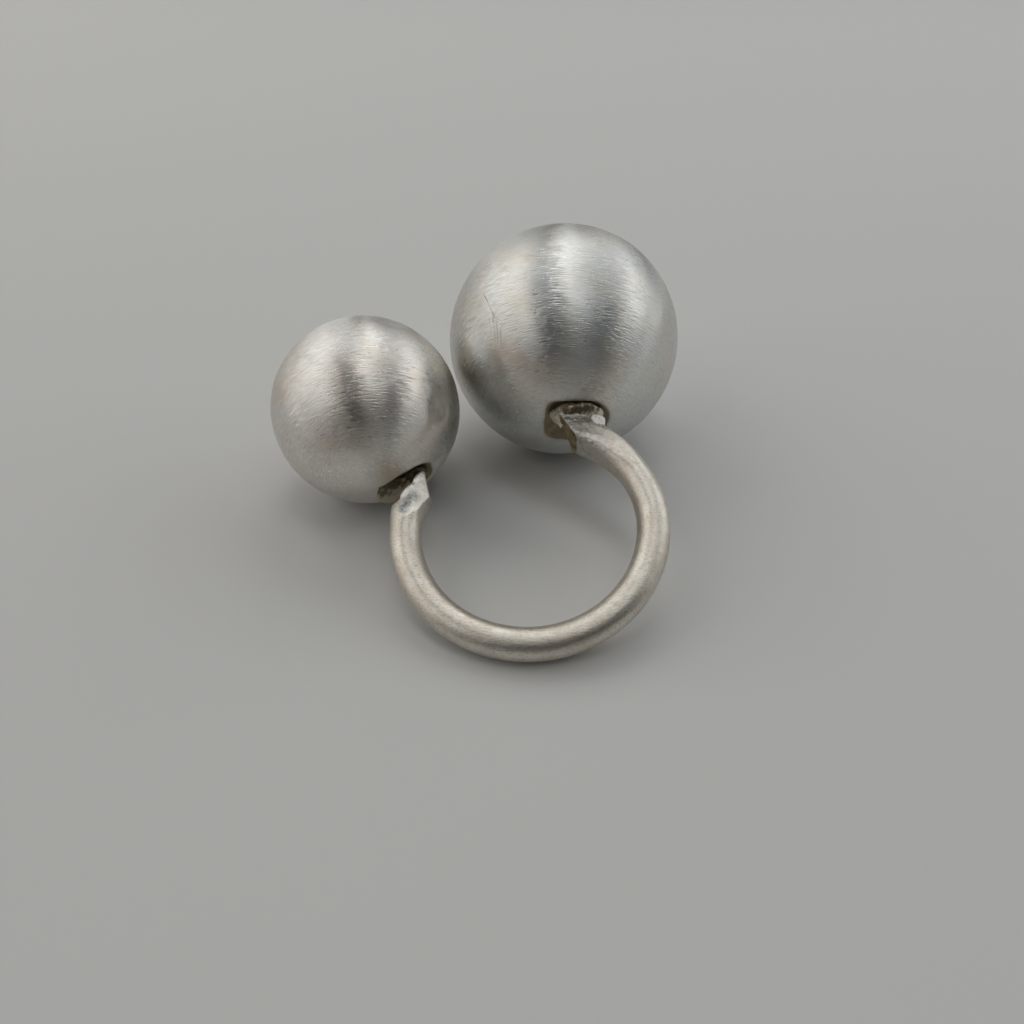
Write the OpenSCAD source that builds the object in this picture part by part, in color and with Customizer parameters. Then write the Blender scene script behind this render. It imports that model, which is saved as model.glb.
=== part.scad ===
// Open ring of round silver wire with a large and a small hollow ball, lying on a table, in millimetres.
// It rests on three points: the lowest point of each ball and the lowest point of the band.
// Angles round the band are counted from its level diameter, so its lowest point is at 270.
// Directions across the wire are counted from straight outward, so 90 is square to the band's plane.

/* [Band] */
// Inside diameter of the finger opening
finger_d = 17.35; // [15:0.05:21]
// Thickness of the round wire
wire_d = 2.65; // [2.2:0.05:3.2]
// Slope of the band's plane above the table
slope = 21.6; // [16:0.2:26]
// Turn of the whole ring on the table
turn = -13.5; // [-45:0.5:45]

/* [Squared ends] */
// Half the width across the flats where the wire is hammered square
squared_half = 1.25; // [1.1:0.05:1.35]
// Sharpness of the squared wire's edges, where 2 is round
squareness = 7; // [3:1:10]
// Angle round the band of the wire's tip at the large ball
large_end = 87.5; // [84:0.5:90]
// Distance of that tip outward from the round wire's middle
large_tip = 0.3; // [-0.8:0.1:0.8]
// Degrees of the band over which the wire goes from round to squared there
large_run = 50; // [30:1:60]
// Direction that one of the flats faces there
large_lean = 72; // [0:1:90]
// How far the wire there bends inward from the circle
large_inset = 0.4; // [0:0.05:0.5]
// Slant of the cut there that faces into the finger opening
large_inner_slant = 43; // [20:1:65]
// Rise of that cut, up from the band's plane
large_rise = 8; // [0:1:20]
// Slant of the cut there that faces the ball
large_outer_slant = 67; // [40:1:75]
// Angle round the band of the wire's tip at the small ball
small_end = 164; // [161:0.5:167]
// Distance of that tip outward from the round wire's middle
small_tip = -0.75; // [-1.2:0.05:0]
// Degrees of the band over which the wire goes from round to squared there
small_run = 28; // [20:1:60]
// Direction that one of the flats faces there
small_lean = 52; // [0:1:90]
// How far the wire there bends inward from the circle
small_inset = 0.15; // [0:0.05:0.5]
// Slant of the cut there that faces into the finger opening
small_inner_slant = 60; // [20:1:65]
// Slant of the cut there that faces the ball
small_outer_slant = 45; // [35:1:60]

/* [Balls] */
// Diameter of the large ball
large_d = 21.4; // [19:0.1:22]
// Level distance from the band's centre to the large ball's centre
large_reach = 19.9; // [19.4:0.1:20.2]
// Bearing of the large ball from the band's centre, where 90 is straight up the slope
large_bearing = 93.3; // [91:0.1:95]
// Diameter of the small ball
small_d = 16.5; // [15:0.1:17]
// Level distance from the band's centre to the small ball's centre
small_reach = 18.2; // [17.8:0.1:18.5]
// Bearing of the small ball from the band's centre
small_bearing = 154.7; // [153:0.1:156]
// Thickness of the sheet silver that the balls are made of
sheet_t = 0.5; // [0.4:0.05:0.7]

/* [Recesses] */
// Angle round the band that the large ball's recess faces
large_seat = 76; // [73:0.5:79]
// Width of the mouth of the large ball's recess
large_mouth_d = 5.9; // [4.8:0.1:6.2]
// How far the axis of that recess tips down towards the table
large_tip_down = 2; // [0:0.5:4]
// Angle round the band that the small ball's recess faces
small_seat = 170; // [167:0.5:173]
// Width of the mouth of the small ball's recess
small_mouth_d = 4.9; // [4.4:0.1:5.4]
// How far the axis of that recess tips down towards the table
small_tip_down = 7.5; // [0:0.5:10]
// Depth of the recesses below the ball's own curve
recess_depth = 1.0; // [0.8:0.05:1.3]
// Width that a recess loses from its mouth to its floor
recess_taper = 1.6; // [0.4:0.1:2]
// Diameter of the solder between a recess and the wire
solder_d = 1.8; // [1.5:0.1:2.2]
// Distance from the middle of a recess to its solder, towards the table
solder_drop = 0.8; // [0:0.05:1]

/* [Hidden] */
silver = "silver";
stained = "#8a8070";
wire_r = wire_d / 2;
band_r = finger_d / 2 + wire_r;
band_height = band_r * sin(slope) + wire_r;
tucked_r = wire_r - 0.02;
sides = 24;
rings = 16;
lap = 1;
spare = 14;
round_facets = 96;

// A point of the level band, lifted to the slope
function sloped(p) = [
    p.x,
    p.y * cos(slope) - p.z * sin(slope),
    p.y * sin(slope) + p.z * cos(slope)
];

// The same point, turned on the table
function turned(p) = [
    p.x * cos(turn) - p.y * sin(turn),
    p.x * sin(turn) + p.y * cos(turn),
    p.z
];

// Each ball stands on the table, so its centre is one radius above it
function ball_centre(d, reach, bearing) =
    [reach * cos(bearing), reach * sin(bearing), d / 2 - band_height];

large_centre = ball_centre(large_d, large_reach, large_bearing);
small_centre = ball_centre(small_d, small_reach, small_bearing);

// The box round the ring: the balls reach furthest on three sides, the band at the front
normal = turned(sloped([0, 0, 1]));
band_front = band_r * sqrt(1 - normal.y * normal.y) + wire_r;
box_right = turned(large_centre).x + large_d / 2;
box_left = turned(small_centre).x - small_d / 2;
box_back = turned(large_centre).y + large_d / 2;
band_centre = [-(box_left + box_right) / 2, (band_front - box_back) / 2, band_height];

// Share of the squared shape, from 1 at the end of the wire to 0 past the run
function squared_share(from_end, run) =
    let (u = min(1, max(0, 1 - from_end / run)))
    u * u * (3 - 2 * u);

// Half width of the wire in one direction, between a circle and a rounded square
function section_half(direction, lean, share) =
    let (
        half = tucked_r + (squared_half - tucked_r) * share,
        power = 2 + (squareness - 2) * share,
        c = abs(cos(direction - lean)) / half,
        s = abs(sin(direction - lean)) / half
    )
    pow(pow(c, power) + pow(s, power), -1 / power);

// One corner of the squared wire, so many degrees before its end
function squared_point(from_end, run, direction, lean, inset) =
    let (
        share = squared_share(from_end, run),
        half = section_half(direction, lean, share),
        out = band_r - inset * share + half * cos(direction)
    )
    [out * cos(from_end), -out * sin(from_end), half * sin(direction)];

// The wire's last stretch, swept from round to squared, to a spare length past its end at angle 0
module squared_wire(run, lean, inset) {
    points = [
        for (i = [0 : rings], k = [0 : sides - 1])
            squared_point(-spare + (run + lap + spare) * i / rings, run, 360 * k / sides, lean, inset)
    ];
    walls = [
        for (i = [0 : rings - 1], k = [0 : sides - 1])
            let (next = (k + 1) % sides)
            [i * sides + k, (i + 1) * sides + k, (i + 1) * sides + next, i * sides + next]
    ];
    first_end = [for (k = [0 : sides - 1]) k];
    last_end = [for (k = [sides - 1 : -1 : 0]) rings * sides + k];
    polyhedron(points, concat([first_end], walls, [last_end]), convexity = 4);
}

// What the nippers take off: all that lies past a slanted plane through the tip
module past_cut(tip, rise, slant) {
    block = 4 * wire_d;
    translate([band_r + tip, 0, 0])
        rotate([rise - 90, 0, slant])
            translate([-block / 2, -block / 2, 0]) cube(block);
}

// The squared stretch, nipped off to a wedge at its end
module cut_wire(run, lean, inset, tip, inner_slant, rise, outer_slant) {
    difference() {
        squared_wire(run, lean, inset);
        past_cut(tip, rise, inner_slant);
        past_cut(tip, 0, -outer_slant);
    }
}

// The round stretch of the wire between the two squared ones
module round_wire() {
    start = small_end - 360 + small_run;
    rotate([0, 0, start])
        rotate_extrude(angle = large_end - large_run - start, $fn = round_facets)
            translate([band_r, 0]) circle(r = wire_r, $fn = round_facets);
}

module band() {
    color(silver)
        rotate([slope, 0, 0]) {
            round_wire();
            rotate([0, 0, large_end])
                cut_wire(
                    large_run, large_lean, large_inset,
                    large_tip, large_inner_slant, large_rise, large_outer_slant
                );
            rotate([0, 0, small_end])
                mirror([0, 1, 0])
                    cut_wire(
                        small_run, small_lean, small_inset,
                        small_tip, small_inner_slant, 0, small_outer_slant
                    );
        }
}

// The way from a ball's centre to the middle of the wire that its recess faces
function way_to_band(centre, seat) = sloped([band_r * cos(seat), band_r * sin(seat), 0]) - centre;

// Turns the Z axis that way
module towards_band(centre, seat) {
    way = way_to_band(centre, seat);
    translate(centre)
        rotate([0, acos(way.z / norm(way)), atan2(way.y, way.x)])
            children();
}

// A cone from the floor of a recess outwards, wide enough to open its mouth
module recess(d, mouth_d, wider) {
    floor_height = d / 2 - recess_depth;
    reach = 2 * recess_depth;
    translate([0, 0, floor_height - wider])
        cylinder(
            h = reach,
            d1 = mouth_d - recess_taper + 2 * wider,
            d2 = mouth_d + recess_taper + 2 * wider,
            $fn = round_facets
        );
}

// Hollow ball with a round recess, whose walls and floor close the ball
module ball(centre, d, seat, mouth_d, tip_down) {
    color(silver)
        difference() {
            translate(centre) sphere(d = d, $fn = round_facets);
            difference() {
                translate(centre) sphere(d = d - 2 * sheet_t, $fn = round_facets);
                towards_band(centre, seat) rotate([0, tip_down, 0]) recess(d, mouth_d, sheet_t);
            }
            towards_band(centre, seat) rotate([0, tip_down, 0]) recess(d, mouth_d, 0);
        }
}

// Solder from the floor of the recess to the inside of the wire
module solder(centre, d, seat) {
    below_floor = d / 2 - recess_depth - sheet_t / 2;
    color(stained)
        towards_band(centre, seat)
            translate([solder_drop, 0, below_floor])
                cylinder(h = norm(way_to_band(centre, seat)) - below_floor, d = solder_d, $fn = round_facets);
}

// The band, both balls and their solder are one piece of metal
module ring() {
    translate(band_centre)
        rotate([0, 0, turn]) {
            band();
            ball(large_centre, large_d, large_seat, large_mouth_d, large_tip_down);
            ball(small_centre, small_d, small_seat, small_mouth_d, small_tip_down);
            solder(large_centre, large_d, large_seat);
            solder(small_centre, small_d, small_seat);
        }
}

ring();
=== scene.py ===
# %% [markdown]
# # A brushed silver ring with two hollow balls
#
# The ring is a C of round silver wire. One end of the wire is soldered into a large hollow ball and
# the other into a smaller one. It lies on its side on a table, on both balls and on the lowest point
# of the wire. Every length in this lesson is thought of in millimetres and turned into metres once.

# %% Load the ring's solid model
import math

import bmesh
import bpy
import numpy as np
from mathutils import Matrix, Vector, noise
from mathutils.bvhtree import BVHTree


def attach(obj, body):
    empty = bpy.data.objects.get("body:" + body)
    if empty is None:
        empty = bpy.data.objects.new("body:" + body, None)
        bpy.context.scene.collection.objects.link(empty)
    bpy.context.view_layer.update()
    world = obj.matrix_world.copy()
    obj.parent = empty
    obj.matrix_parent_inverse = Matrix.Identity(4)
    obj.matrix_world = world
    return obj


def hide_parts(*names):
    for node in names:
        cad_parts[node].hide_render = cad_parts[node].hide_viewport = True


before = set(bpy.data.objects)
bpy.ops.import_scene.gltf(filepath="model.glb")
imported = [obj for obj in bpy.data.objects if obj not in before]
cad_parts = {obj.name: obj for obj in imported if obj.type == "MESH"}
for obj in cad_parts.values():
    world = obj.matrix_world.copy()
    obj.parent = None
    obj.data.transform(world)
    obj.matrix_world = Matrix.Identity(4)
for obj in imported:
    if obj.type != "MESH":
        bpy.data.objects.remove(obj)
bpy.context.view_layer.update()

# %% [markdown]
# ## Where everything is
#
# The band lies in a plane that rises away from the viewer, and the whole ring is turned a little on
# the table. Points of the band are easiest to give by the angle round it, the distance outward from
# the middle of the wire and the height above the band's own plane. One function turns those into a
# place in the scene, so no piece has to be fitted by eye.

# %% The ring's sizes, in millimetres and degrees
MM = 0.001
WIRE_R = 2.65 / 2
BAND_R = 17.35 / 2 + WIRE_R
SLOPE = math.radians(21.6)
TURN = math.radians(-13.5)
BAND_CENTRE = np.array((4.105, -9.812, 5.006))
LARGE_BALL = {"centre": np.array((7.629, 9.774, 10.62)), "r": 10.7, "squash": np.array((1, 0.995, 0.99))}
SMALL_BALL = {"centre": np.array((-10.079, 1.593, 8.25)), "r": 8.25}

# The columns are the band's right, its rise and its own upright
BAND_AXES = np.array(Matrix.Rotation(TURN, 3, "Z") @ Matrix.Rotation(SLOPE, 3, "X"))


def on_band(angle, outward, upward):
    """Millimetres in the scene for a point beside the middle line of the wire."""
    reach = BAND_R + outward
    flat = np.array((reach * math.cos(angle), reach * math.sin(angle), upward))
    return BAND_CENTRE + BAND_AXES @ flat


print("lowest point of the band, mm:", on_band(math.radians(270), 0, 0).round(2))


# %% [markdown]
# ## The camera
#
# It looks along +Y and 42 degrees down, from about 70 mm away. A lens this short, so close to a small
# object, makes its near parts look larger than its far ones.

# %% Camera
def add_camera(place, pitch, roll, lens):
    """A camera at that place in mm, looking along +Y and down by the pitch in degrees."""
    data = bpy.data.cameras.new("camera")
    data.lens = lens
    data.sensor_width = 36
    data.clip_start = 0.002
    camera = bpy.data.objects.new("camera", data)
    bpy.context.collection.objects.link(camera)
    down = Matrix.Rotation(math.radians(90 - pitch), 4, "X")
    tilt = Matrix.Rotation(math.radians(roll), 4, "Z")
    camera.matrix_world = Matrix.Translation(Vector(place) * MM) @ down @ tilt
    bpy.context.scene.camera = camera
    return camera


camera = add_camera(place=(2.875, -56.55, 48.18), pitch=41.8, roll=0.19, lens=27.56)
print("camera at, m:", tuple(round(v, 4) for v in camera.matrix_world.translation))


# %% [markdown]
# ## Helpers
#
# A piece is made from a list of points in millimetres and a list of faces. It rides on the ring's one
# body and stands for the plain solid. An amount stored at each point, such as how stained it is there,
# lets a finish change softly across a piece.

# %% Making a piece
def make_piece(name, points, faces, **amounts):
    """A smooth mesh from points in mm, with the named numbers or directions stored at its points."""
    mesh = bpy.data.meshes.new(name)
    mesh.from_pydata((np.asarray(points) * MM).tolist(), [], faces)
    for amount, values in amounts.items():
        values = np.asarray(values, np.float32)
        kind, part = ("FLOAT_VECTOR", "vector") if values.ndim == 2 else ("FLOAT", "value")
        layer = mesh.attributes.new(amount, kind, "POINT")
        layer.data.foreach_set(part, values.ravel())
    piece = bpy.data.objects.new(name, mesh)
    bpy.context.collection.objects.link(piece)
    finish_piece(piece)
    return piece


def finish_piece(piece, sharp_from=40):
    """Smooth shading that keeps edges from so many degrees, and the piece's place in the ring."""
    piece.data.polygons.foreach_set("use_smooth", [True] * len(piece.data.polygons))
    piece.data.set_sharp_from_angle(angle=math.radians(sharp_from))
    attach(piece, "root")
    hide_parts("ring")


def grid_faces(rings, sides):
    """Quads between closed rings of points that follow one another."""
    faces = []
    for i in range(rings - 1):
        for k in range(sides):
            n = (k + 1) % sides
            faces.append((i * sides + k, i * sides + n, (i + 1) * sides + n, (i + 1) * sides + k))
    return faces


def bumps(points, size, seed=0.0):
    """Smooth noise from about -1 to 1 at points in mm, whose bumps are that many mm wide."""
    shift = Vector((seed, 2 * seed, 3 * seed))
    return np.array([noise.noise(Vector(p) / size + shift) for p in points])


def unit(way):
    """The same direction with length 1; also for a list of directions."""
    way = np.asarray(way, float)
    return way / np.linalg.norm(way, axis=-1, keepdims=True)


print("faces between two rings of three points:", grid_faces(2, 3))


# %% [markdown]
# ## The balls
#
# Such a ball is two domes of sheet silver, pressed in a dapping block and soldered together. It is
# never quite round: filing the seam leaves it a touch flatter and slightly wavy. The wire's end sits
# in a recess that was ground in with a burr, so its mouth is more of a rounded square than a circle.
#
# A ready-made sphere has no good place for that recess. Here the rings of points are laid round the
# recess instead: they start in the middle of its floor, climb its wall, round its rim and then go on
# over the ball to the far side. So the rim is clean, and the mesh is finest where it is looked at.

# %% The mouth of a recess
def turned(first, second, degrees):
    """Two directions at right angles, turned together so that the first moves towards the second."""
    c, s = math.cos(math.radians(degrees)), math.sin(math.radians(degrees))
    return first * c + second * s, second * c - first * s


def recess_axes(ball, toward, tip_down, twist):
    """The viewer's left, down and outward at a recess, which is tipped down and twisted in degrees."""
    way = unit(toward - ball["centre"])
    left = unit(np.cross(way, (0, 0, 1)))
    way, down = turned(way, np.cross(way, left), tip_down)
    left, down = turned(left, down, twist)
    return left, down, way


def mouth_outline(turn, mouth, squareness):
    """How far the rim is from the middle, in mm, square to the left and rounder to the right."""
    c = np.abs(np.cos(turn)) / (mouth[0] / 2)
    s = np.abs(np.sin(turn)) / (mouth[1] / 2)
    power = np.where(np.cos(turn) > 0, squareness[0], squareness[1])
    rounded = (c ** power + s ** power) ** (-1 / power)
    return rounded * (1 + 0.008 * np.sin(3 * turn + 1) + 0.006 * np.sin(8 * turn))


large_axes = recess_axes(LARGE_BALL, on_band(math.radians(76), 0, 0) + (0.06, 0, 0), tip_down=1, twist=0)
small_axes = recess_axes(SMALL_BALL, on_band(math.radians(170), 0, 0) + (-0.1, 0, 0), tip_down=6, twist=20)
print("the recesses face", large_axes[2].round(2), "and", small_axes[2].round(2))


# %% [markdown]
# The strokes of the brushing run round an axis of each ball's own, as a hand does that holds the ball
# by the recess and turns it. Their direction is stored at each point, and so is a place measured along
# and across them, in which the strokes are 8 times as long as they are wide. Inside the recess the
# burr left its marks round the rim instead.

# %% The way of the strokes
STRETCH = 8


def comb(outward, r, axis):
    """The way of the strokes and the stroke-wise place in mm, at points of a ball."""
    axis = unit(axis)
    height = outward @ axis
    side = unit(outward - height[:, None] * axis)
    from_pole = np.arccos(np.clip(height, -1, 1)) * r
    return unit(np.cross(axis, outward)), side * r / STRETCH + from_pole[:, None] * axis


def comb_recess(local, outward, r, axes):
    """The same inside a recess, where marks about 7 times as long as wide run round its middle."""
    round_it = np.stack((-local[:, 1], local[:, 0], 0 * local[:, 0]), axis=1)
    reach = np.linalg.norm(local[:, :2], axis=1)
    return unit(round_it) @ np.array(axes), 0.15 * outward * r + np.outer(reach, axes[2])


print("at a ball's right side the strokes run along", comb(np.array([(1.0, 0, 0)]), 10, (0, 0, 1))[0][0])


# %% [markdown]
# The rings of points have a height over the ball's middle and a width, which follows the outline of
# the mouth and turns into a circle on the far side. The recess is a bowl with a flat floor, stained
# all over. Its rim is rounded off by 0.06 mm, and the stain fades within about 0.3 mm of it.

# %% Rings from the recess to the far side
ROUNDED_OFF = 0.06
BALL_SIDES = 256


def recess_rings(r, rim, depth):
    """Width, height and stain of each ring, from the middle of the recess floor to the rim."""
    for share in np.concatenate((np.linspace(0.02, 0.8, 16), np.linspace(0.84, 0.995, 12))):
        height = np.sqrt(r * r - rim * rim) - depth * (1 - share ** 5) + 0.05 * (share - 1)
        yield rim * share, height, np.ones(len(rim))


def shell_rings(r, rim, raised):
    """Width, height and stain of each ring, from the rim to the far side of the ball."""
    rim_angle = np.arcsin(rim / r)
    for share in np.linspace(0, 1, 150) ** 1.5:
        polar = rim_angle + (math.pi - 0.004 - rim_angle) * share
        away = (polar - rim_angle) * r
        out = r - (ROUNDED_OFF + raised) * np.exp(-away / 0.1) + raised * np.exp(-((away / 0.35) ** 2))
        yield out * np.sin(polar), out * np.cos(polar), np.exp(-away / 0.3)


print("a recess has", len(list(recess_rings(8, np.ones(1), 0.8))), "rings of", BALL_SIDES, "points")


# %% [markdown]
# One part of the small recess is darkened, partly as burnt scale and partly as painted shade beside
# the wire's tip. The hand left waves of three sizes on each ball, given as parts of its radius, and
# soft dents where the file went flat over it. Each flat is given as a direction, then a size and a
# depth in millimetres.

# %% Burnt metal and the marks of the hand
def soot_and_shade_near(soot_and_shade, left, down):
    """How dark a recess is at places in mm, as burnt scale and painted shade: most amid its sooty part, if
    any.
    """
    if soot_and_shade is None:
        return 0 * left
    from_left = (left - soot_and_shade["left"]) / soot_and_shade["wide"]
    from_top = (down - soot_and_shade["down"]) / soot_and_shade["tall"]
    return soot_and_shade["strength"] * np.exp(-(from_left ** 2) - from_top ** 2)


def pushed_out(outward, r, flats):
    """How far the hand's work moved the points of a ball outward, in mm: waves and flats."""
    moved = 0.04 * bumps(outward, 0.8, seed=r) + 0.014 * bumps(outward, 0.25, seed=r + 3)
    moved += 0.004 * bumps(outward, 0.09, seed=r + 5)
    for way, size, deep in flats:
        gap = np.arccos(np.clip(outward @ unit(way), -1, 1)) * r
        moved -= deep * np.exp(-((gap / size) ** 2))
    return moved


print("a flat 1 mm deep:", pushed_out(np.array([(1.0, 0, 0)]), 10, [((1, 0, 0), 1, 1)]).round(2), "mm")


# %% [markdown]
# A ball is its rings of points, turned towards its recess and pushed in and out by the marks of the
# hand. Its two ends are closed by a tiny face each. The amounts of stain, of burning with its painted
# shade, and the strokes are stored at the points, for the finish to read.

# %% A ball from its rings
def make_ball(name, ball, axes, mouth, squareness, depth, raised, soot_and_shade, axis, flats):
    """The rings of points run from the middle of the recess floor over the rim to the far side."""
    r = ball["r"]
    turn = np.arange(BALL_SIDES) * 2 * math.pi / BALL_SIDES
    cos, sin = np.cos(turn), np.sin(turn)
    rim = mouth_outline(turn, mouth, squareness)
    inner = list(recess_rings(r, rim, depth))
    outer = list(shell_rings(r, rim, raised))
    rings = inner + outer
    inside = len(inner) * BALL_SIDES
    stain = [stained for wide, high, stained in rings]
    # The burnt amount in the small recess is partly painted shade beside the wire's tip.
    burnt = [soot_and_shade_near(soot_and_shade, wide * cos, wide * sin) for wide, high, stained in inner]
    burnt += [soot_and_shade_near(soot_and_shade, rim * cos, rim * sin)] * len(outer)
    local = [np.stack((wide * cos, wide * sin, high), axis=1) for wide, high, stained in rings]
    local = np.array(local).reshape(-1, 3)
    spread = local @ np.array(axes)
    outward = unit(spread)
    strokes, combed = comb(outward, r, axis)
    strokes[:inside], combed[:inside] = comb_recess(local[:inside], outward[:inside], r, axes)
    moved = outward * pushed_out(outward, r, flats)[:, None]
    points = ball["centre"] + spread * ball.get("squash", 1.0) + moved
    faces = grid_faces(len(rings), BALL_SIDES)
    faces.append(tuple(reversed(range(BALL_SIDES))))
    faces.append(tuple(range((len(rings) - 1) * BALL_SIDES, len(rings) * BALL_SIDES)))
    piece = make_piece(
        name,
        points,
        faces,
        stain=np.concatenate(stain),
        burnt=np.concatenate(burnt),
        strokes_way=strokes,
        combed=combed,
    )
    print(name, "is", round(2 * r, 1), "mm across and has", len(piece.data.polygons), "faces")
    return piece


# %% The two balls
large_ball = make_ball(
    "large_ball",
    LARGE_BALL,
    large_axes,
    mouth=(5.6, 4.9),
    squareness=(4.5, 2.1),
    depth=0.8,
    raised=0.0,
    soot_and_shade=None,
    axis=(0, 0.9, 0.44),
    flats=[((0.2, -0.2, 0.9), 5.0, 0.10), ((-0.3, -0.85, -0.1), 2.5, 0.06)],
)
small_ball = make_ball(
    "small_ball",
    SMALL_BALL,
    small_axes,
    mouth=(4.8, 3.7),
    squareness=(2.4, 2.6),
    depth=0.8,
    raised=0.1,
    # This darkens the small recess as burnt scale and as painted shade beside the wire's tip.
    soot_and_shade={"left": 0.3, "down": 1.3, "wide": 1.3, "tall": 0.9, "strength": 1.2},
    axis=(-0.19, 0.93, 0.31),
    flats=[
        ((0.85, -0.45, 0.33), 0.9, 0.24),
        ((0.78, -0.57, -0.25), 0.8, 0.26),
        ((0.5, 0.0, 0.85), 3.0, 0.08),
    ],
)

# %% [markdown]
# ## The band
#
# The wire is round for most of its way. Its last stretch at each end was hammered nearly square, so
# four flats grow out of the round wire there, and slanted nips of the cutters leave each end as a
# wedge. A curve with a bevel could make the round part, but its section can't change along the way.
# So the wire is swept one section at a time: at every step round the band the section is drawn between a
# circle and a rounded square.
#
# Angles run from the band's right side towards the large ball. The run of an end is how many degrees
# of the wire were hammered, and its inset is how far that pressed the wire inward, in millimetres. The
# lean turns the square in its section, and half is half its width. Bending by hand left the band a
# little out of round, by 0.16 mm towards its lower right.

# %% The wire's changing section
LARGE_END, SMALL_END = 87.5, 164
ENDS = {
    "large": {"end": LARGE_END, "run": 50, "lean": 78, "inset": 0.5, "inset_run": 75, "half": 1.3},
    "small": {"end": SMALL_END - 360, "run": 28, "lean": 70, "inset": 0.15, "inset_run": 28, "half": 1.25},
}
HALF_WAY = -60
SQUARENESS = 7
BENT_OVAL = {"by": 0.16, "towards": -20}


def share_of(from_end, run):
    """From 1 at the end of the wire to 0 past a run of so many degrees."""
    t = min(1, max(0, 1 - from_end / run))
    return t * t * (3 - 2 * t)


def section(direction, share, lean, half):
    """Half the wire's width in one direction, between a circle and a rounded square."""
    size = WIRE_R + (half - WIRE_R) * share
    power = 2 + (SQUARENESS - 2) * share
    c = np.abs(np.cos(direction - lean)) / size
    s = np.abs(np.sin(direction - lean)) / size
    return (c ** power + s ** power) ** (-1 / power)


def sweep_wire(spare=14, step=0.85, sides=112):
    """Points of the wire, from past the small ball's end to past the large one's."""
    first, last = ENDS["small"]["end"] - spare, ENDS["large"]["end"] + spare
    turns = np.arange(sides) * 2 * math.pi / sides
    points, hammered = [], []
    for angle in np.arange(first, last + step, step):
        end = ENDS["large" if angle > HALF_WAY else "small"]
        from_end = max(0, (end["end"] - angle) * (1 if angle > HALF_WAY else -1))
        share = share_of(from_end, end["run"])
        half = section(turns, share, math.radians(end["lean"]), end["half"])
        oval = BENT_OVAL["by"] * max(0.0, math.cos(math.radians(angle - BENT_OVAL["towards"]))) ** 2
        shift = oval - end["inset"] * share_of(from_end, end["inset_run"])
        for k in range(sides):
            out = shift + half[k] * math.cos(turns[k])
            points.append(on_band(math.radians(angle), out, half[k] * math.sin(turns[k])))
            hammered.append(share)
    return np.array(points), np.array(hammered), sides


wire_points, worked, wire_sides = sweep_wire()
print("the wire has", len(wire_points) // wire_sides, "sections of", wire_sides, "points")

# %% [markdown]
# A hammer face leaves shallow flats of about a millimetre, and the rest of the wire is drawn and
# sanded, so it is only a little wavy. Both go into the mesh, because they bend the outline.

# %% Hammer marks and the wire itself
sections = wire_points.reshape(-1, wire_sides, 3)
across = unit((sections - sections.mean(axis=1, keepdims=True)).reshape(-1, 3))
marks = 0.04 * worked * bumps(wire_points, 0.9, seed=5) + 0.02 * worked * bumps(wire_points, 0.4, seed=7)
marks += 0.014 * bumps(wire_points, 1.6, seed=9) + 0.02 * bumps(wire_points, 4.0, seed=2)
wire_points = wire_points + across * marks[:, None]
wire_faces = grid_faces(len(sections), wire_sides)
wire_faces.append(tuple(reversed(range(wire_sides))))
wire_faces.append(tuple(range((len(sections) - 1) * wire_sides, len(sections) * wire_sides)))
band = make_piece("band", wire_points, wire_faces, hammered=worked, burnt=0 * worked)
print("band:", len(band.data.polygons), "faces before the nips")


# %% [markdown]
# The nips are cut the way the cutters do it: everything past a slanted plane goes, and the cut is
# closed with a flat face that gets a finish of its own. The large end has two: the broad one is
# stained by the soldering, and the other was sanded with the wire. The small end was nipped and then
# filed to a tip with four faces: the outer one is stained, and the rest are bright.
#
# Each row gives the end's angle, a point of the cut outward and upward from the middle of the wire
# there, the slant and the rise of the way that the cut faces, and whether that way is mirrored, as the
# wire comes to its small end from the other side.

# %% The nips
def nip_plane(end, beside, slant, rise, mirrored):
    """A point on a cut in mm and the way the cut faces, at the end of the wire at that angle."""
    s, r = math.radians(slant), math.radians(rise)
    faces = np.array((-math.sin(s) * math.cos(r), math.cos(s) * math.cos(r), math.sin(r)))
    if mirrored:
        faces[1] = -faces[1]
    a = math.radians(end)
    turn = np.array(((math.cos(a), -math.sin(a), 0), (math.sin(a), math.cos(a), 0), (0, 0, 1)))
    tip = np.array((BAND_R + beside[0], 0, beside[1]))
    return BAND_CENTRE + BAND_AXES @ turn @ tip, BAND_AXES @ turn @ faces


def nip(piece, cuts, reach=7):
    """Cut the mesh within so many mm of each plane's point, close it and give the face its finish."""
    build = bmesh.new()
    build.from_mesh(piece.data)
    for (place, faces), finish in cuts:
        near = {v for v in build.verts if (v.co - Vector(place * MM)).length < reach * MM}
        geometry = [v for v in build.verts if v in near]
        geometry += [e for e in build.edges if set(e.verts) <= near]
        geometry += [f for f in build.faces if set(f.verts) <= near]
        made = bmesh.ops.bisect_plane(
            build, geom=geometry, plane_co=Vector(place * MM), plane_no=Vector(faces), clear_outer=True
        )
        rim = [e for e in made["geom_cut"] if isinstance(e, bmesh.types.BMEdge) and e.is_boundary]
        for face in bmesh.ops.edgeloop_fill(build, edges=rim)["faces"]:
            face.material_index = finish
    build.to_mesh(piece.data)
    build.free()
    finish_piece(piece)


# The last finish is for the bead: a painted highlight.
SATIN, STAINED_CUT, FILED, LARGE_SOLDER, SMALL_SOLDER, PAINTED_HIGHLIGHT = range(6)
nip(
    band,
    [
        (nip_plane(LARGE_END, (0.37, 0.97), -67, -52.6, False), SATIN),
        (nip_plane(LARGE_END, (0.3, 0), 43, 8, False), STAINED_CUT),
        (nip_plane(SMALL_END, (0.26, 0), -76.3, 33.5, True), STAINED_CUT),
        (nip_plane(SMALL_END, (-0.27, 0), 47.6, -4.1, True), FILED),
        (nip_plane(SMALL_END, (-1.38, 0.594), -15.5, 79.6, True), FILED),
        (nip_plane(SMALL_END, (-0.5, -0.03), 41, 59, True), FILED),
    ],
)
print("band:", len(band.data.polygons), "faces after the nips")


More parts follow.
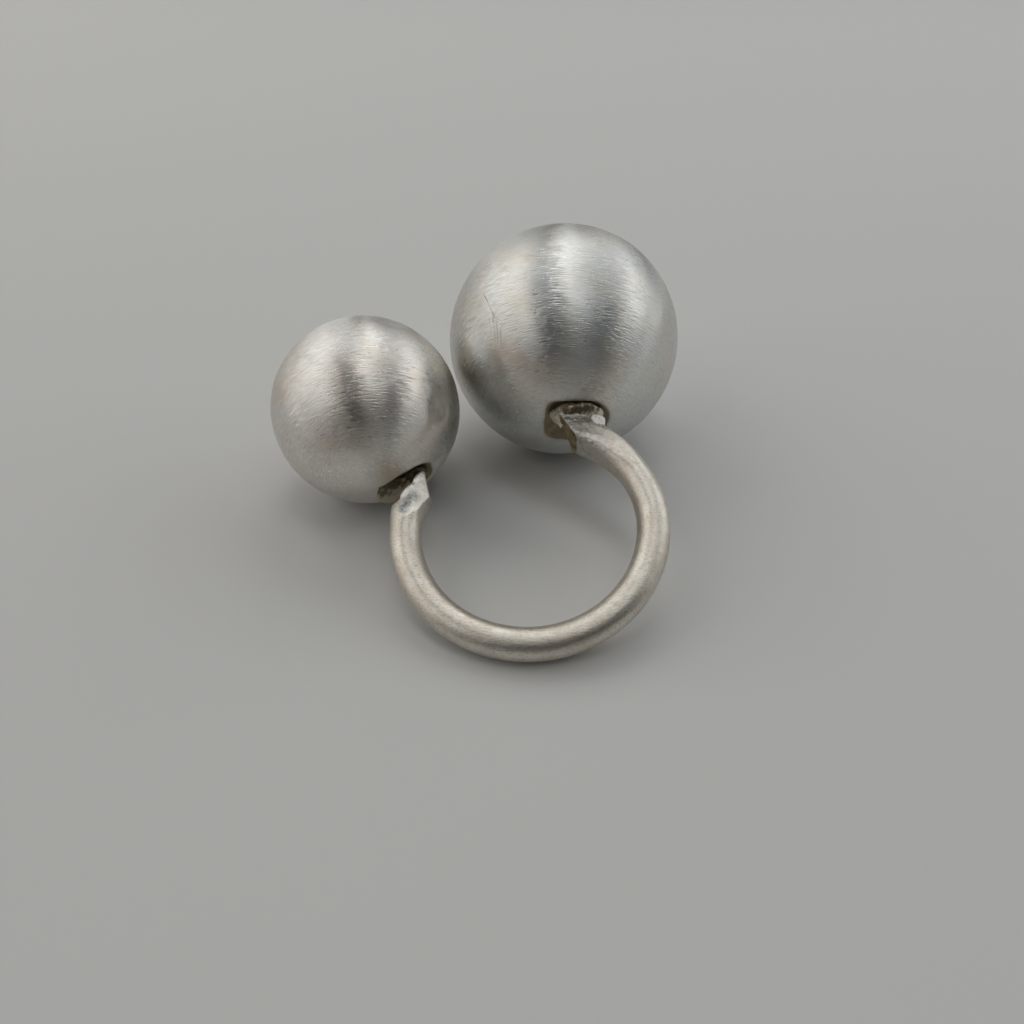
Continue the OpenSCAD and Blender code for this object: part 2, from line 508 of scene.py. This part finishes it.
# %% [markdown]
# ## The solder
#
# Hard solder flows as a thin skin and freezes lumpy where it was scraped and not cleaned. It fills the
# gap between the recess and the wire. A ball of points pushed in and out by two sizes of noise gives
# that, squashed to the gap it fills. The length of its name sets where the noise is taken, so no two
# lumps of one size look alike.

# %% A lump of solder
def make_solder(name, finish, place, radii, axes, lumpy, sooty=0.0):
    """A lumpy blob at a place in mm, with three radii in mm along three directions."""
    build = bmesh.new()
    bmesh.ops.create_icosphere(build, subdivisions=5, radius=1)
    around = np.array([v.co for v in build.verts])
    faces = [[v.index for v in f.verts] for f in build.faces]
    build.free()
    size = 1 + lumpy * bumps(around, 0.55, seed=len(name)) + lumpy / 2 * bumps(around, 0.2, seed=3)
    points = place + (around * size[:, None] * np.array(radii)) @ np.array(axes)
    burnt = np.clip(sooty - 1.2 * around[:, 1], 0, 1)
    piece = make_piece(name, points, faces, burnt=burnt, hammered=0 * burnt + 1)
    piece.data.polygons.foreach_set("material_index", [finish] * len(faces))
    print(name, "is", [round(2 * r, 1) for r in radii], "mm")
    return piece


def in_recess(ball, axes, left, down, out):
    """A place in mm from the middle of a recess's mouth, along its three directions."""
    return ball["centre"] + np.array((left, down, ball["r"] + out)) @ np.array(axes)


def axes_along(start, end):
    """Three directions, the first from one place to the other."""
    along = unit(np.subtract(end, start))
    side = unit(np.cross(along, (0, 0, 1)))
    return along, side, np.cross(along, side)


def make_ridge(name, start, end, thick):
    """A thin bright ridge between two places in mm."""
    length = np.linalg.norm(np.subtract(end, start))
    middle = np.add(start, end) / 2
    radii = (length / 2, thick, thick)
    return make_solder(name, FILED, middle, radii, axes_along(start, end), lumpy=0.12)


print("a way to the right has the sides", np.round(axes_along((0, 0, 0), (1, 0, 0))[1:], 1).tolist())


# %% [markdown]
# The large recess has one lump, with a bead at its edge whose white is a painted highlight. The small one
# has a second lump beside the tip of the wire, and a burnt one behind it that joins it to the wire.

# %% The solder in both recesses
melted_in = [
    make_solder(
        "solder_large",
        LARGE_SOLDER,
        in_recess(LARGE_BALL, large_axes, left=0.0, down=-0.75, out=-0.45),
        radii=(2.4, 1.4, 0.85),
        axes=large_axes,
        lumpy=0.16,
    ),
    # The bead's white, non-metal finish is a painted highlight.
    make_solder(
        "solder_bead",
        PAINTED_HIGHLIGHT,
        in_recess(LARGE_BALL, large_axes, left=-1.6, down=-1.05, out=0.85),
        radii=(0.65, 0.55, 0.6),
        axes=large_axes,
        lumpy=0.1,
    ),
    make_solder(
        "solder_small",
        SMALL_SOLDER,
        in_recess(SMALL_BALL, small_axes, left=1.45, down=0.3, out=-0.36),
        radii=(1.6, 2.0, 0.55),
        axes=small_axes,
        lumpy=0.16,
    ),
    make_solder(
        "solder_burnt",
        SMALL_SOLDER,
        in_recess(SMALL_BALL, small_axes, left=-0.7, down=0.3, out=-0.65),
        radii=(1.35, 1.1, 0.5),
        axes=small_axes,
        lumpy=0.2,
        sooty=1.0,
    ),
]


# %% [markdown]
# The cutters pushed up a thin burr beside the stained cut at the large ball. At the small ball solder
# stands along the edge of the tip as two low ridges, which the file made bright. They are long thin
# lumps between two places, and they make the outlines of the cuts.

# %% The burr and the ridges
melted_in += [
    make_ridge("nipping_burr", (6.72, -0.85, 9.3), (7.13, -1.3, 8.31), 0.19),
    make_ridge("solder_ridge_low", (-6.42, -7.5, 6.0), (-5.4, -6.1, 6.3), 0.24),
    make_ridge("solder_ridge_high", (-5.5, -6.1, 6.3), (-4.65, -4.4, 6.25), 0.28),
]


# %% [markdown]
# Solder wets the wire and rounds every corner it reaches, and the hammer rounded the others. So the
# wire, the solder, the burr and the ridges are melted into one skin: it is rebuilt from cubes of
# 0.09 mm, which joins what overlaps, and then each point moves towards the middle of its neighbours.
# It moves furthest close to the two ends, where the metal is soldered or hammered most, and a tenth
# as far on the rest of the wire. Each face keeps the finish of the piece it came from.

# %% Melting the metal together
def joined(parts):
    """The points and faces of some pieces as one list, and for each face its finish and two amounts."""
    points, faces, facts = [], [], []
    for part in parts:
        first = len(points)
        points += [v.co.copy() for v in part.data.vertices]
        beaten, burnt = (part.data.attributes[name].data for name in ("hammered", "burnt"))
        for face in part.data.polygons:
            faces.append([first + v for v in face.vertices])
            v = face.vertices[0]
            facts.append((face.material_index, beaten[v].value, burnt[v].value))
    return points, faces, np.array(facts)


def even_out(mesh, share, rounds):
    """Move each point towards the middle of its neighbours, as far as its share says, again and again."""
    points = np.array([v.co for v in mesh.vertices])
    first, second = np.array([e.vertices for e in mesh.edges]).T
    count = np.bincount(first, minlength=len(points)) + np.bincount(second, minlength=len(points))
    for _ in range(rounds):
        total = np.zeros_like(points)
        np.add.at(total, first, points[second])
        np.add.at(total, second, points[first])
        points += 0.5 * share[:, None] * (total / count[:, None] - points)
    mesh.vertices.foreach_set("co", points.ravel())


def melt_together(piece, others, cube, rounds):
    """One skin round the piece and the others, which then go."""
    points, faces, facts = joined([piece, *others])
    skin = bpy.data.meshes.new("skin")
    skin.from_pydata(points, [], faces)
    piece.data = skin
    cubes = piece.modifiers.new("cubes", "REMESH")
    cubes.mode = "VOXEL"
    cubes.voxel_size = cube * MM
    seen = piece.evaluated_get(bpy.context.evaluated_depsgraph_get())
    mesh = bpy.data.meshes.new_from_object(seen)
    piece.modifiers.remove(cubes)
    before = BVHTree.FromPolygons(points, faces)
    nearest = np.array([before.find_nearest(v.co)[2] for v in mesh.vertices])
    finish, beaten, burnt = facts[nearest].T
    for name, values in (("hammered", beaten), ("burnt", burnt)):
        mesh.attributes.new(name, "FLOAT", "POINT").data.foreach_set("value", values.astype(np.float32))
    first_corner = [face.vertices[0] for face in mesh.polygons]
    mesh.polygons.foreach_set("material_index", finish[first_corner].astype(np.int32))
    even_out(mesh, np.clip((beaten - 0.8) * 10, 0.1, 1), rounds)
    piece.data = mesh
    for other in others:
        bpy.data.objects.remove(other)
    finish_piece(piece)


melt_together(band, melted_in, cube=0.09, rounds=24)
print("band with its solder:", len(band.data.polygons), "faces")


# %% [markdown]
# ## Colours and nodes
#
# Colours are written as hex values, as a colour picker shows them, and turned into the linear values
# that the light is computed with. One small function adds a node of any kind with its settings and
# links, and gives back the output that the next node needs.

# %% Colours and nodes
def colour(hex_value):
    """Linear red, green, blue and alpha from an sRGB hex value."""
    parts = [int(hex_value[i : i + 2], 16) / 255 for i in (1, 3, 5)]
    linear = [p / 12.92 if p <= 0.04045 else ((p + 0.055) / 1.055) ** 2.4 for p in parts]
    return (*linear, 1.0)


def add_node(tree, kind, inputs=(), output=0, **settings):
    """An output of a new node; its inputs are values or other outputs, by name or in their order."""
    node = tree.nodes.new("ShaderNode" + kind)
    for name, value in settings.items():
        setattr(node, name, value)
    for name, value in inputs.items() if isinstance(inputs, dict) else enumerate(inputs):
        if isinstance(value, bpy.types.NodeSocket):
            tree.links.new(value, node.inputs[name])
        else:
            node.inputs[name].default_value = value
    return node.outputs[output] if len(node.outputs) else None


def new_material(name):
    """An empty material and its node tree."""
    material = bpy.data.materials.new(name)
    material.use_nodes = True
    material.node_tree.nodes.clear()
    return material, material.node_tree


print("a middle grey in linear light:", round(colour("#808080")[0], 3))


# %% [markdown]
# ## Brushed silver on the balls
#
# The balls are sterling silver, rubbed with an abrasive pad in strokes. A stroke is a groove, so the
# surface is rough across the strokes and smooth along them, and each light is drawn out into a tall
# band at right angles to them. The shader's anisotropy does exactly this, when its tangent points
# across the strokes: that is the cross product of the normal and the strokes' way.
#
# Wear tells that the ring was worn. The marks are stretches between two places in mm, with the
# distance at which they end: the long scratch in two parts and two pits, a field of hairlines beside
# it, and where tarnish lies.

# %% Marks of wear
def near_line(tree, place, start, end, width):
    """1 on the line between two points in mm, falling to 0 at that distance from it."""
    start, end = Vector(start) * MM, Vector(end) * MM
    along = end - start
    per_length = tuple(along / along.length_squared)
    from_start = add_node(tree, "VectorMath", (place, tuple(start)), operation="SUBTRACT")
    share = add_node(tree, "VectorMath", (from_start, per_length), "Value", operation="DOT_PRODUCT")
    share = add_node(tree, "Math", (share, 0.0), operation="ADD", use_clamp=True)
    nearest = add_node(tree, "VectorMath", {"Vector": tuple(along), "Scale": share}, operation="SCALE")
    distance = add_node(tree, "VectorMath", (from_start, nearest), "Value", operation="DISTANCE")
    return add_node(tree, "MapRange", (distance, 0.0, width * MM, 1.0, 0.0))


def near_any(tree, place, lines):
    """1 on any of those lines, falling to 0 away from them."""
    nearness = 0.0
    for start, end, width in lines:
        line = near_line(tree, place, start, end, width)
        nearness = add_node(tree, "Math", (line, nearness), operation="MAXIMUM")
    return nearness


SCRATCHES = [
    ((0.2, 6.14, 17.49), (0.75, 4.9, 17.1), 0.07),
    ((0.75, 4.9, 17.1), (1.46, 3.13, 16.39), 0.06),
    ((-6.56, -0.13, 15.5), (-6.5, -0.15, 15.5), 0.14),
    ((-6.2, 3.0, 15.9), (-5.9, 2.6, 15.9), 0.08),
]
HAIRLINES = ((1.2, 3.4, 16.2), (1.7, 1.9, 15.1), 0.8)
TARNISH = [
    ((1.9, 1.5, 14.2), (5.0, 0.0, 13.5), 2.0),
    ((-12.5, -6.2, 9.8), (-10.4, -6.0, 11.0), 2.8),
]
print("marks of wear:", len(SCRATCHES), "scratches and pits,", len(TARNISH), "patches of tarnish")


# %% [markdown]
# The strokes of such a pad go down to a few hundredths of a millimetre, too fine to show from here. So
# they are drawn 0.11 mm wide and 8 times as long. They are noise in the stroke-wise place, so they
# follow the hand round the ball. The hand isn't steady: their way sways over about 6 mm, and they are
# pressed harder in some fields of about 2 mm than in others. The hairlines are noise that is drawn out
# upright, with 7 to a millimetre.

# %% Strokes and scratches
STROKE_WIDTH = 0.11
SWAY = 6.25
FIELD = 2.2


def brushing(tree, place):
    """How high the metal stands between the strokes, from below 0 to above, and the way they run."""
    drift = add_node(tree, "TexNoise", {"Vector": place, "Scale": 1 / (SWAY * MM)}, "Color")
    sway = add_node(tree, "VectorMath", (drift, (0.5, 0.5, 0.5)), operation="SUBTRACT")
    steady = add_node(tree, "Attribute", (), "Vector", attribute_name="strokes_way")
    strokes_way = add_node(tree, "VectorMath", (steady, sway), operation="ADD")
    combed = add_node(tree, "Attribute", (), "Vector", attribute_name="combed")
    fine = {"Vector": combed, "Scale": 1 / STROKE_WIDTH, "Detail": 3.0, "Distortion": 0.3}
    fine = add_node(tree, "Math", (add_node(tree, "TexNoise", fine), 0.5), operation="SUBTRACT")
    fields = add_node(tree, "TexNoise", {"Vector": place, "Scale": 1 / (FIELD * MM)})
    pressed = add_node(tree, "MapRange", (fields, 0.35, 0.65, 0.6, 1.3))
    return add_node(tree, "Math", (fine, pressed), operation="MULTIPLY"), strokes_way


def scratched(tree, place):
    """1 in a scratch or a pit, less in the hairlines and 0 elsewhere."""
    upright = add_node(tree, "Mapping", {"Vector": place, "Scale": (7 / MM, 0.6 / MM, 0.6 / MM)})
    hairs = add_node(tree, "TexNoise", {"Vector": upright, "Scale": 1.0})
    hairs = add_node(tree, "MapRange", (hairs, 0.5, 0.62))
    field = near_line(tree, place, *HAIRLINES)
    hairs = add_node(tree, "Math", (hairs, field), operation="MULTIPLY")
    hairs = add_node(tree, "Math", (hairs, 0.6), operation="MULTIPLY")
    scratches = near_any(tree, place, SCRATCHES)
    return add_node(tree, "Math", (scratches, hairs), operation="MAXIMUM")


print("strokes are", STROKE_WIDTH, "mm wide and", round(STROKE_WIDTH * STRETCH, 2), "mm long")


# %% [markdown]
# The silver is warm in patches of about 5 mm, tarnished in two places, and darker deep in the strokes
# and the scratches. Each tone lies over the ones before it. In the recess lies the brown scale that
# soldering leaves. It is blotched at its edge, and the burr left marks in it that are 0.12 mm wide. In
# the small recess it is darkest where painted shade lies beside the wire's tip.

# %% Tones of the silver and of the scale
BURR_MARK = 0.12


def silver_tones(tree, place, clean, warm, strokes, scratches):
    """The colour of the silver, from its patches, its tarnish, its strokes and its scratches."""
    patches = {"Vector": place, "Scale": 1 / (5 * MM), "Detail": 4.0, "Roughness": 0.6}
    warmth = add_node(tree, "MapRange", (add_node(tree, "TexNoise", patches), 0.44, 0.7))
    uneven = add_node(tree, "TexNoise", {"Vector": place, "Scale": 1 / (1.2 * MM), "Detail": 3.0})
    uneven = add_node(tree, "MapRange", (uneven, 0.3, 0.6, 0.4, 1.3))
    tarnish = near_any(tree, place, TARNISH)
    tarnish = add_node(tree, "Math", (tarnish, uneven), operation="MULTIPLY", use_clamp=True)
    deep = add_node(tree, "MapRange", (strokes, 0.02, -0.2, 0.0, 0.24))
    dark = add_node(tree, "Math", (scratches, 0.5), operation="MULTIPLY")
    silver = colour(clean)
    for share, tone in ((warmth, warm), (tarnish, "#cfc6bc"), (deep, "#8f8f8c"), (dark, "#4a4642")):
        tones = {"Factor": share, "A": silver, "B": colour(tone)}
        silver = add_node(tree, "Mix", tones, "Result", data_type="RGBA")
    return silver


def scale_tones(tree, place):
    """How much scale covers the metal, and its colour, darkest where it is burnt and where shade is painted.
    """
    stain = add_node(tree, "Attribute", (), "Fac", attribute_name="stain")
    blotch = {"Vector": place, "Scale": 1 / (1.1 * MM), "Detail": 4.0, "Roughness": 0.65}
    blotch = add_node(tree, "TexNoise", blotch)
    blotch = add_node(tree, "Math", (blotch, 0.9, -0.45), operation="MULTIPLY_ADD")
    edge = add_node(tree, "Math", (blotch, stain), operation="ADD", use_clamp=True)
    covered = add_node(tree, "Math", (edge, stain), operation="MULTIPLY", use_clamp=True)
    combed = add_node(tree, "Attribute", (), "Vector", attribute_name="combed")
    burr_marks = add_node(tree, "TexNoise", {"Vector": combed, "Scale": 1 / BURR_MARK})
    # In the small recess this burnt amount is partly painted shade beside the wire's tip.
    burnt = add_node(tree, "Attribute", (), "Fac", attribute_name="burnt")
    brownness = add_node(tree, "Math", (burr_marks, 0.7, burnt), operation="MULTIPLY_ADD")
    brownness = add_node(tree, "MapRange", (brownness, 0.35, 1.2))
    tones = {"Factor": brownness, "A": colour("#a89a82"), "B": colour("#231c15")}
    return covered, add_node(tree, "Mix", tones, "Result", data_type="RGBA")


print("marks of the burr are", BURR_MARK, "mm wide")


# %% [markdown]
# Both balls get this finish, and each has tones of its own: the large one is cooler, and the small one
# warmer. The strokes work twice: as a relief, and as a lean of the surface along them, which makes
# every stroke glint in its own way. Scale isn't metal, so where it covers the silver the shader is
# less metallic and rougher.

# %% Brushed silver
def brushed_silver(name, clean, warm, rough, drawn_out):
    """Silver with strokes, warm tarnish in patches, marks of wear and a stained recess."""
    material, tree = new_material(name)
    place = add_node(tree, "TexCoord", (), "Object")
    normal = add_node(tree, "NewGeometry", (), "Normal")
    strokes, strokes_way = brushing(tree, place)
    scratches = scratched(tree, place)
    across = add_node(tree, "VectorMath", (normal, strokes_way), operation="CROSS_PRODUCT")
    height = add_node(tree, "Math", (strokes, scratches), operation="SUBTRACT")
    grooves = add_node(tree, "Bump", {"Height": height, "Strength": 0.5, "Distance": 0.08 * MM})
    lean = add_node(tree, "Math", (strokes, 0.27), operation="MULTIPLY")
    lean = add_node(tree, "VectorMath", {"Vector": strokes_way, "Scale": lean}, operation="SCALE")
    leaning = add_node(tree, "VectorMath", (grooves, lean), operation="ADD")
    silver = silver_tones(tree, place, clean, warm, strokes, scratches)
    covered, brown = scale_tones(tree, place)
    tones = {"Factor": covered, "A": silver, "B": brown}
    matt = add_node(tree, "MapRange", (strokes, -0.25, 0.25, rough + 0.06, rough - 0.05))
    surface = {
        "Base Color": add_node(tree, "Mix", tones, "Result", data_type="RGBA"),
        "Metallic": add_node(tree, "Math", (covered, -0.6, 1.0), operation="MULTIPLY_ADD"),
        "Roughness": add_node(tree, "Math", (covered, 0.25, matt), operation="MULTIPLY_ADD"),
        "Anisotropic": drawn_out,
        "Tangent": add_node(tree, "VectorMath", (across,), operation="NORMALIZE"),
        "Normal": add_node(tree, "VectorMath", (leaning,), operation="NORMALIZE"),
    }
    add_node(tree, "OutputMaterial", {"Surface": add_node(tree, "BsdfPrincipled", surface)})
    return material


large_silver = brushed_silver(
    "brushed_silver_large", clean="#dedfdc", warm="#dcd7cc", rough=0.3, drawn_out=0.92
)
small_silver = brushed_silver(
    "brushed_silver_small", clean="#e8e6e1", warm="#e2d9cf", rough=0.3, drawn_out=0.92
)
for ball, silver in ((large_ball, large_silver), (small_ball, small_silver)):
    ball.data.materials.append(silver)
    print(ball.name, "wears", silver.name)


# %% [markdown]
# ## Satin silver on the wire
#
# The wire was sanded with a soft pad, in the same strokes from side to side, which leaves an even,
# velvety satin. Its grain is drawn an eighth of a millimetre wide, coarser than the real one, so that
# it shows. It has the beige cast that handling and light tarnish give sterling silver. The hammered
# ends are greyer, with dimples of about 0.4 mm that sparkle where they catch the light.

# %% Satin silver
def satin_silver(name, clean, warm, worked_colour, rough):
    """Silver wire with a fine grain, greyer and dimpled where it was hammered."""
    material, tree = new_material(name)
    place = add_node(tree, "TexCoord", (), "Object")
    worked = add_node(tree, "Attribute", (), "Fac", attribute_name="hammered")
    level = add_node(tree, "Mapping", {"Vector": place, "Scale": (3.6 / MM, 8 / MM, 8 / MM)})
    grain = add_node(tree, "TexNoise", {"Vector": level, "Scale": 1.0, "Detail": 3.0})
    sway = add_node(tree, "TexNoise", {"Vector": place, "Scale": 1 / (0.4 * MM)}, "Color")
    sway = add_node(tree, "VectorMath", {"Vector": sway, "Scale": 0.4 * MM}, operation="SCALE")
    swayed = add_node(tree, "VectorMath", (place, sway), operation="ADD")
    dimples = add_node(tree, "TexVoronoi", {"Vector": swayed, "Scale": 2.6 / MM}, "Distance")
    beaten = add_node(tree, "Math", (dimples, worked), operation="MULTIPLY")
    height = add_node(tree, "Math", (beaten, 2.6, grain), operation="MULTIPLY_ADD")
    relief = add_node(tree, "Bump", {"Height": height, "Strength": 0.6, "Distance": 0.05 * MM})
    patches = {"Vector": place, "Scale": 1 / (1.6 * MM), "Detail": 5.0, "Roughness": 0.65}
    patches = add_node(tree, "TexNoise", patches)
    warmth = add_node(tree, "MapRange", (patches, 0.38, 0.62))
    greyed = add_node(tree, "Math", (worked, 0.7), operation="MULTIPLY")
    in_grain = add_node(tree, "MapRange", (grain, 0.5, 0.3, 0.0, 0.4))
    in_dimples = add_node(tree, "MapRange", (beaten, 0.25, 0.6, 0.0, 0.5))
    silver = colour(clean)
    for share, tone in (
        (warmth, warm),
        (greyed, worked_colour),
        (in_grain, "#8c847a"),
        (in_dimples, "#80807c"),
    ):
        tones = {"Factor": share, "A": silver, "B": colour(tone)}
        silver = add_node(tree, "Mix", tones, "Result", data_type="RGBA")
    matt = add_node(tree, "MapRange", (patches, 0.3, 0.7, rough - 0.04, rough + 0.04))
    surface = {"Base Color": silver, "Metallic": 1.0, "Roughness": matt, "Normal": relief}
    add_node(tree, "OutputMaterial", {"Surface": add_node(tree, "BsdfPrincipled", surface)})
    return material


wire_silver = satin_silver(
    "satin_silver_wire", clean="#dfdad0", warm="#d3cbbe", worked_colour="#a2a29f", rough=0.41
)
print("the wire wears", wire_silver.name)


# %% [markdown]
# ## The cut faces
#
# A nipped face is torn rather than cut, so it is rough. The one at the large ball, and the outer one at
# the small ball, took on an olive brown from flux and heat. The filed ones are nearly white, with a
# blue-grey streak along one side of the tip. The streak is given like the marks of wear.

# %% Nipped silver
TIP_STREAK = ((-6.17, -8.79, 5.76), (-5.3, -7.39, 6.07), 0.8)


def nipped_silver(name, light, dark, size, metallic, streaked):
    """Torn silver with blotches of two colours, so many mm wide, and as much of the blue-grey streak as told.
    """
    material, tree = new_material(name)
    place = add_node(tree, "TexCoord", (), "Object")
    blotch = {"Vector": place, "Scale": 1 / (size * MM), "Detail": 4.0, "Roughness": 0.6}
    blotch = add_node(tree, "MapRange", (add_node(tree, "TexNoise", blotch), 0.4, 0.6))
    tear = add_node(tree, "TexNoise", {"Vector": place, "Scale": 1 / (0.2 * MM), "Detail": 3.0})
    relief = add_node(tree, "Bump", {"Height": tear, "Strength": 0.35, "Distance": 0.1 * MM})
    # The blue-grey streak along one side of the tip.
    streak = add_node(tree, "Math", (near_line(tree, place, *TIP_STREAK), streaked), operation="MULTIPLY")
    uneven = add_node(tree, "MapRange", (tear, 0.3, 0.7, 0.4, 1.3))
    streak = add_node(tree, "Math", (streak, uneven), operation="MULTIPLY", use_clamp=True)
    silver = colour(light)
    for share, tone in ((blotch, dark), (streak, "#7f8789")):
        tones = {"Factor": share, "A": silver, "B": colour(tone)}
        silver = add_node(tree, "Mix", tones, "Result", data_type="RGBA")
    surface = {"Base Color": silver, "Metallic": metallic, "Roughness": 0.38, "Normal": relief}
    add_node(tree, "OutputMaterial", {"Surface": add_node(tree, "BsdfPrincipled", surface)})
    return material


stained_cut = nipped_silver(
    "nipped_silver_stained", light="#b3a47d", dark="#75673f", size=0.6, metallic=0.7, streaked=0.0
)
filed = nipped_silver("filed_silver", light="#fffbf2", dark="#ece7dc", size=0.7, metallic=0.8, streaked=1.0)
print("the cut faces wear", stained_cut.name, "and", filed.name)


# %% [markdown]
# ## Hard silver solder
#
# Solder that was never polished stays granular: cream where it is bare metal and brown where the flux
# and the copper in it burned. A noise of about half a millimetre mixes the two and roughens the
# surface. Where it is burnt most, black specks of flux stand on it. The bead at the edge of the large
# recess is white all round as a painted highlight, and it isn't made as a metal, which would mirror
# the dark recess.

# %% Solder
def silver_solder(name, bare, burnt, share, metallic):
    """Silver solder between bare and burnt; the share tells how much of it is burnt."""
    material, tree = new_material(name)
    place = add_node(tree, "TexCoord", (), "Object")
    grains = {"Vector": place, "Scale": 1 / (0.45 * MM), "Detail": 4.0, "Roughness": 0.7}
    grains = add_node(tree, "TexNoise", grains)
    relief = add_node(tree, "Bump", {"Height": grains, "Strength": 0.6, "Distance": 0.1 * MM})
    flame = add_node(tree, "Attribute", (), "Fac", attribute_name="burnt")
    bare_here = add_node(tree, "Math", (flame, -0.33, grains), operation="MULTIPLY_ADD")
    brown = add_node(tree, "MapRange", (bare_here, share - 0.25, share - 0.05, 1.0, 0.0))
    specks = add_node(tree, "TexNoise", {"Vector": place, "Scale": 1 / (0.22 * MM), "Detail": 3.0})
    specks = add_node(tree, "MapRange", (specks, 0.52, 0.62, 0.0, 0.8))
    burnt_most = add_node(tree, "MapRange", (bare_here, 0.2, 0.0))
    specks = add_node(tree, "Math", (specks, burnt_most), operation="MULTIPLY")
    skin = colour(bare)
    for amount, tone in ((brown, burnt), (specks, "#1b1611")):
        tones = {"Factor": amount, "A": skin, "B": colour(tone)}
        skin = add_node(tree, "Mix", tones, "Result", data_type="RGBA")
    surface = {"Base Color": skin, "Metallic": metallic, "Roughness": 0.45, "Normal": relief}
    add_node(tree, "OutputMaterial", {"Surface": add_node(tree, "BsdfPrincipled", surface)})
    return material


raw_solder = silver_solder("raw_silver_solder", bare="#dad3c3", burnt="#6e6250", share=0.46, metallic=0.7)
burnt_solder = silver_solder("burnt_silver_solder", bare="#b5ab95", burnt="#5f5645", share=0.48, metallic=0.5)
# A white non-metal finish for the bead: a painted highlight.
painted_highlight_solder = silver_solder(
    "painted_highlight_silver_solder", bare="#ffffff", burnt="#fbf8f0", share=0.4, metallic=0.0
)
for finish in (wire_silver, stained_cut, filed, raw_solder, burnt_solder, painted_highlight_solder):
    band.data.materials.append(finish)
print("the band wears", [finish.name for finish in band.data.materials])


# %% [markdown]
# ## The table
#
# A plain pale floor of matt board, so wide that its edge stays out of the picture.

# %% Floor
FLOOR = 2
corners = [(-FLOOR, -FLOOR, 0), (FLOOR, -FLOOR, 0), (FLOOR, FLOOR, 0), (-FLOOR, FLOOR, 0)]
floor_mesh = bpy.data.meshes.new("floor")
floor_mesh.from_pydata(corners, [], [(0, 1, 2, 3)])
floor = bpy.data.objects.new("floor", floor_mesh)
bpy.context.collection.objects.link(floor)
paint, paint_tree = new_material("pale_matt_board")
surface = {"Base Color": colour("#cacac8"), "Roughness": 0.9, "Specular IOR Level": 0.2}
add_node(paint_tree, "OutputMaterial", {"Surface": add_node(paint_tree, "BsdfPrincipled", surface)})
floor_mesh.materials.append(paint)
print("the floor is", 2 * FLOOR, "m wide and wears", paint.name)


# %% [markdown]
# ## Studio light
#
# Brushed silver shows its surroundings smeared into bands, so the lights are placed for the bands that
# they make. Wide soft boxes to the left and right make the two pale sides of each ball, a pair beyond
# the ring makes the split band in the middle, and a few overhead light the floor and the tops. Only a
# few dim ones stand on the camera's side, high up or to the left, so the fronts of the balls stay
# dark.
#
# Azimuth and height are angles in degrees, the sizes are in metres and the powers in watts. The world
# adds only a faint glow, so the gaps between the boxes stay dark too.

# %% Soft boxes
WARM, NEUTRAL, COOL = "#fffaf4", "#fffefc", "#f8fcff"
LIGHTS = {
    "right": {"azimuth": 68, "height": 30, "size": (0.46, 0.69), "power": 0.73, "colour": COOL},
    "left_high": {"azimuth": 300, "height": 40, "size": (0.41, 0.44), "power": 0.55, "colour": NEUTRAL},
    "left": {"azimuth": 260, "height": 30, "size": (0.46, 0.69), "power": 0.65, "colour": WARM},
    "beyond_high": {"azimuth": 4, "height": 50, "size": (0.14, 0.3), "power": 0.26, "colour": NEUTRAL},
    "beyond_high_right": {"azimuth": 23, "height": 50, "size": (0.14, 0.3), "power": 0.2, "colour": NEUTRAL},
    "beyond_left": {"azimuth": 332, "height": 30, "size": (0.3, 0.69), "power": 0.39, "colour": NEUTRAL},
    "top": {"azimuth": 0, "height": 88, "size": (0.13, 0.26), "power": 0.18, "colour": NEUTRAL},
    "beyond_right": {"azimuth": 36, "height": 30, "size": (0.3, 0.21), "power": 0.2, "colour": NEUTRAL},
    "left_low": {"azimuth": 296, "height": 10, "size": (0.43, 0.21), "power": 0.16, "colour": WARM},
    "top_right": {"azimuth": 120, "height": 68, "size": (0.16, 0.26), "power": 0.2, "colour": COOL},
    "right_low": {"azimuth": 100, "height": 20, "size": (0.32, 0.44), "power": 0.13, "colour": NEUTRAL},
    "front_left": {"azimuth": 236, "height": 30, "size": (0.46, 0.21), "power": 0.1, "colour": NEUTRAL},
    "right_middle": {"azimuth": 84, "height": 30, "size": (0.46, 0.21), "power": 0.14, "colour": WARM},
    "top_near": {"azimuth": 160, "height": 68, "size": (0.16, 0.26), "power": 0.09, "colour": WARM},
    "front_left_high": {"azimuth": 228, "height": 50, "size": (0.11, 0.21), "power": 0.1, "colour": NEUTRAL},
    "top_left": {"azimuth": 320, "height": 68, "size": (0.16, 0.26), "power": 0.13, "colour": COOL},
}


def add_soft_box(name, azimuth, height, size, power, colour_hex, distance=0.6):
    """An area light that faces the ring; azimuth 0 is beyond it and 90 to its right."""
    data = bpy.data.lights.new(name, "AREA")
    data.shape = "RECTANGLE"
    data.size, data.size_y = size
    data.energy = power
    data.color = colour(colour_hex)[:3]
    light = bpy.data.objects.new(name, data)
    a, h = math.radians(azimuth), math.radians(height)
    way = Vector((math.sin(a) * math.cos(h), math.cos(a) * math.cos(h), math.sin(h)))
    light.location = way * distance
    light.rotation_mode = "QUATERNION"
    light.rotation_quaternion = way.to_track_quat("Z", "Y")
    bpy.context.collection.objects.link(light)
    return light


for name, box in LIGHTS.items():
    add_soft_box("soft_box_" + name, box["azimuth"], box["height"], box["size"], box["power"], box["colour"])

world = bpy.data.worlds.new("studio")
bpy.context.scene.world = world
world.use_nodes = True
faint_glow = world.node_tree.nodes["Background"].inputs
faint_glow["Color"].default_value = colour("#ffffff")
faint_glow["Strength"].default_value = 0.032
bpy.context.scene.view_settings.view_transform = "Standard"
print("soft boxes:", ", ".join(LIGHTS))
